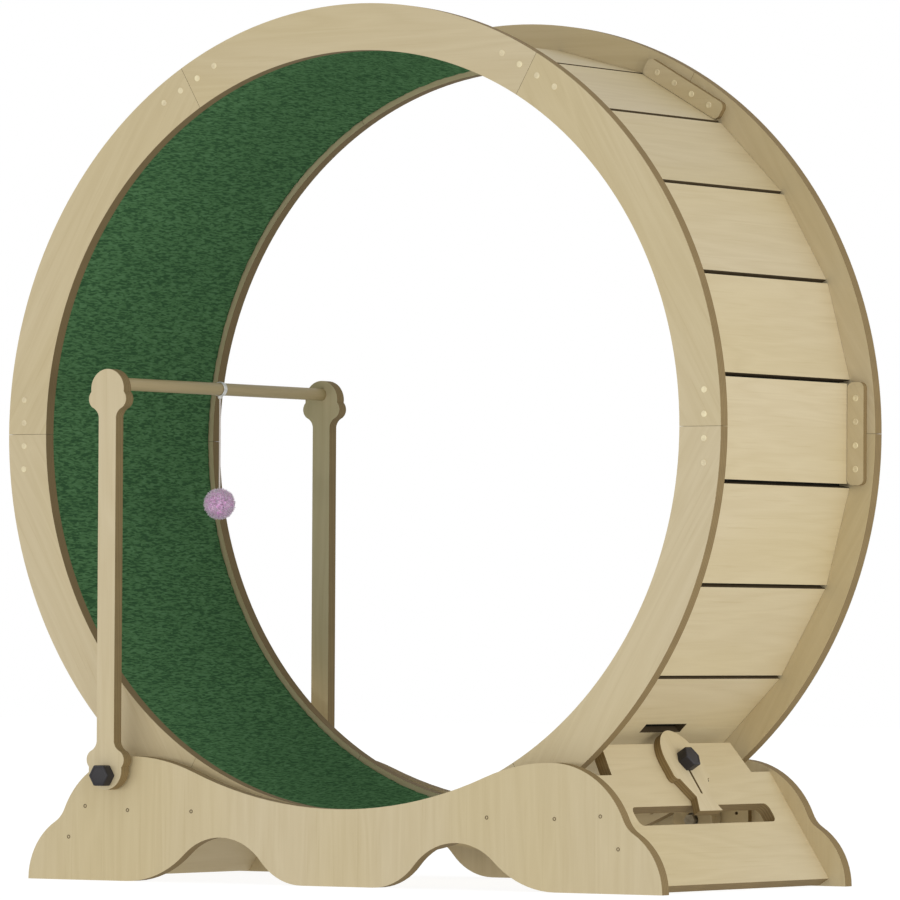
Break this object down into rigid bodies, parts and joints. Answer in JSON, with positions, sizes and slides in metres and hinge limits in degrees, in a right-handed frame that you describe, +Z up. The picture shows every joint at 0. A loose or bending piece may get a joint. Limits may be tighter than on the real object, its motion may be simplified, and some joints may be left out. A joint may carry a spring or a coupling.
{
  "type": "cat exercise wheel",
  "caption": "Slatted plywood running wheel on rollers between two wavy side panels, lined with carpet, with a sliding latch and a folding frame for a hanging ball.",
  "frame": {"origin": "on the floor, midway between the two side panels and under the wheel's axis", "axes": "+Z up; +Y along the wheel's axis, from the front face to the rear face; +X towards the end board with the latch, so the toy frame is at -X"},
  "size_m": [1, 0.4964, 1.0319],
  "materials": {
    "birch_plywood": "sanded plywood, clear matt finish",
    "birch_rod": "turned rod, clear matt finish",
    "carpet": "short looped pile",
    "steel": "zinc plated",
    "roller_nylon": "moulded",
    "black_plastic": "moulded",
    "band": "woven band",
    "string": "twisted string",
    "plush": "fluffy pile"
  },
  "bodies": {
    "stand": {"front_side_panel": "birch_plywood", "rear_side_panel": "birch_plywood", "plain_end_board": "birch_plywood", "latch_end_board": "birch_plywood", "front_end_board_screws": "steel", "rear_end_board_screws": "steel", "front_bracket_screws": "steel", "rear_bracket_screws": "steel", "front_left_roller_bracket": "birch_plywood", "front_right_roller_bracket": "birch_plywood", "rear_left_roller_bracket": "birch_plywood", "rear_right_roller_bracket": "birch_plywood", "roller_axle_bolts": "steel", "roller_axle_nuts": "steel", "pivot_bolts": "steel", "pivot_washers": "black_plastic", "latch_bolt": "steel"},
    "wheel": {"front_ring_segment_1": "birch_plywood", "front_ring_segment_2": "birch_plywood", "front_ring_segment_3": "birch_plywood", "front_ring_segment_4": "birch_plywood", "front_ring_segment_5": "birch_plywood", "front_ring_segment_6": "birch_plywood", "rear_ring_segment_1": "birch_plywood", "rear_ring_segment_2": "birch_plywood", "rear_ring_segment_3": "birch_plywood", "rear_ring_segment_4": "birch_plywood", "rear_ring_segment_5": "birch_plywood", "rear_ring_segment_6": "birch_plywood", "slats_1": "birch_plywood", "slats_2": "birch_plywood", "slats_3": "birch_plywood", "slats_4": "birch_plywood", "slats_5": "birch_plywood", "slats_6": "birch_plywood", "lock_slat_1": "birch_plywood", "lock_slat_2": "birch_plywood", "carpet_lining": "carpet", "front_ring_cleats": "birch_plywood", "rear_ring_cleats": "birch_plywood", "front_ring_bolts": "steel", "rear_ring_bolts": "steel"},
    "front_left_roller_set": {"front_left_roller": "roller_nylon", "front_left_bearing": "steel"},
    "front_right_roller_set": {"front_right_roller": "roller_nylon", "front_right_bearing": "steel"},
    "rear_left_roller_set": {"rear_left_roller": "roller_nylon", "rear_left_bearing": "steel"},
    "rear_right_roller_set": {"rear_right_roller": "roller_nylon", "rear_right_bearing": "steel"},
    "toy_frame": {"front_post": "birch_plywood", "rear_post": "birch_plywood", "toy_bar": "birch_rod"},
    "toy": {"toy_loop": "band", "toy_string": "string", "fluffy_ball": "plush"},
    "latch": {"latch_lever": "birch_plywood"},
    "latch_clamp": {"latch_knob": "black_plastic"},
    "front_clamp": {"front_post_knob": "black_plastic"},
    "rear_clamp": {"rear_post_knob": "black_plastic"}
  },
  "joints": [
    {"name": "wheel_spin", "type": "hinge", "parent": "stand", "child": "wheel", "pos_m": [0, 0, 0.532], "axis": [0, 1, 0], "continuous": true},
    {"name": "front_left_roller_spin", "type": "hinge", "parent": "stand", "child": "front_left_roller_set", "pos_m": [-0.25322, 0, 0.07519], "axis": [0, 1, 0], "continuous": true},
    {"name": "front_right_roller_spin", "type": "hinge", "parent": "stand", "child": "front_right_roller_set", "pos_m": [0.25322, 0, 0.07519], "axis": [0, 1, 0], "continuous": true},
    {"name": "rear_left_roller_spin", "type": "hinge", "parent": "stand", "child": "rear_left_roller_set", "pos_m": [-0.25322, 0, 0.07519], "axis": [0, 1, 0], "continuous": true},
    {"name": "rear_right_roller_spin", "type": "hinge", "parent": "stand", "child": "rear_right_roller_set", "pos_m": [0.25322, 0, 0.07519], "axis": [0, 1, 0], "continuous": true},
    {"name": "toy_frame_fold", "type": "hinge", "parent": "stand", "child": "toy_frame", "pos_m": [-0.31801, 0, 0.12498], "axis": [0, 1, 0], "range_deg": [-12, 88]},
    {"name": "toy_swing", "type": "hinge", "parent": "toy_frame", "child": "toy", "pos_m": [-0.31801, 0, 0.58998], "axis": [0, 1, 0], "range_deg": [-50, 50]},
    {"name": "latch_slide", "type": "slide", "parent": "stand", "child": "latch", "axis": [-0.5446, 0, 0.8387], "range_m": [0, 0.014]},
    {"name": "latch_knob_turn", "type": "hinge", "parent": "stand", "child": "latch_clamp", "pos_m": [0.32836, 0, 0.1382], "axis": [0.8387, 0, 0.5446], "continuous": true},
    {"name": "front_knob_turn", "type": "hinge", "parent": "stand", "child": "front_clamp", "pos_m": [-0.31801, -0.2412, 0.12498], "axis": [0, 1, 0], "continuous": true},
    {"name": "rear_knob_turn", "type": "hinge", "parent": "stand", "child": "rear_clamp", "pos_m": [-0.31801, 0.2412, 0.12498], "axis": [0, 1, 0], "continuous": true}
  ],
  "couplings": [
    {"joint": "front_left_roller_spin", "follows": "wheel_spin", "ratio": -22.727},
    {"joint": "front_right_roller_spin", "follows": "wheel_spin", "ratio": -22.727},
    {"joint": "rear_left_roller_spin", "follows": "wheel_spin", "ratio": -22.727},
    {"joint": "rear_right_roller_spin", "follows": "wheel_spin", "ratio": -22.727}
  ]
}
